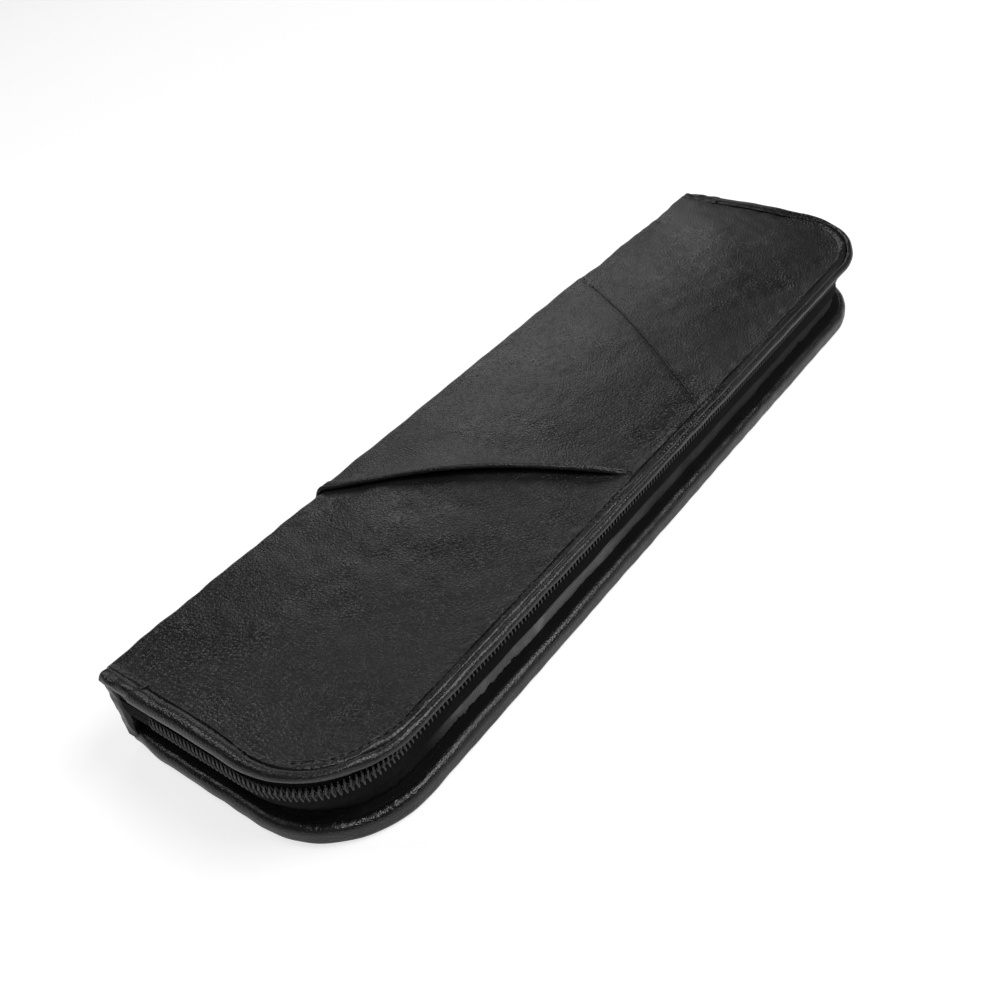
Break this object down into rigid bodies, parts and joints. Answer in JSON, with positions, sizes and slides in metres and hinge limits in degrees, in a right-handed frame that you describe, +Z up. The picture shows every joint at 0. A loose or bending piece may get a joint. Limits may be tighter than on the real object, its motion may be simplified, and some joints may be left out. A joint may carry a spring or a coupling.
{
  "type": "hard chef knife case",
  "caption": "Zip-around book-style hard case for long kitchen knives: padded leather-look lid with an open slanting pocket panel, folding spine, coil zipper, elastic loops inside.",
  "frame": {"origin": "on the table, under the middle of the shut case", "axes": "+X from the spine to the long zipped side, +Y along the case towards the end where the slider rests, +Z up through the lid"},
  "size_m": [0.13, 0.48, 0.054],
  "materials": {
    "cover_leather": "semi-gloss",
    "binding_leather": "semi-gloss",
    "foam": "matte",
    "stiffener_board": "matte",
    "lining_cloth": "matte",
    "grey_web": "matte",
    "black_tape": "matte",
    "nylon_coil": "satin",
    "elastic": "matte",
    "black_metal": "satin"
  },
  "bodies": {
    "base": {"base_skin": "cover_leather", "base_foam": "foam", "base_board": "stiffener_board", "base_lining": "lining_cloth", "base_binding": "binding_leather", "lower_fold": "cover_leather", "base_gusset": "grey_web", "base_zip_tape": "black_tape", "base_zip_coil": "nylon_coil", "handle_loops": "elastic", "blade_loops": "elastic", "tip_pocket": "lining_cloth"},
    "spine": {"spine_skin": "cover_leather", "spine_board": "stiffener_board", "spine_lining": "lining_cloth", "spine_end_binding_near": "binding_leather", "spine_end_binding_far": "binding_leather"},
    "lid": {"lid_skin": "cover_leather", "lid_foam": "foam", "lid_board": "stiffener_board", "lid_lining": "lining_cloth", "lid_binding": "binding_leather", "lid_end_binding_near": "binding_leather", "lid_end_binding_far": "binding_leather", "upper_fold": "cover_leather", "pocket_panel": "cover_leather", "lid_zip_tape": "black_tape", "lid_zip_coil": "nylon_coil", "lid_slip_pocket": "lining_cloth"},
    "slider": {"slider_body": "black_metal"},
    "pull": {"pull_tab": "black_metal"}
  },
  "joints": [
    {"name": "spine_fold", "type": "hinge", "parent": "base", "child": "spine", "pos_m": [-0.0607, 0, 0.0045], "axis": [0, -1, 0], "range_deg": [0, 90]},
    {"name": "lid_fold", "type": "hinge", "parent": "spine", "child": "lid", "pos_m": [-0.0607, 0, 0.04382], "axis": [0, -1, 0], "range_deg": [0, 90]},
    {"name": "slider_travel", "type": "slide", "parent": "base", "child": "slider", "axis": [1, 0, 0], "range_m": [0, 0.042]},
    {"name": "pull_swing", "type": "hinge", "parent": "slider", "child": "pull", "pos_m": [-0.0341, 0.23775, 0.033], "axis": [0, 0, 1], "range_deg": [0, 170]}
  ]
}
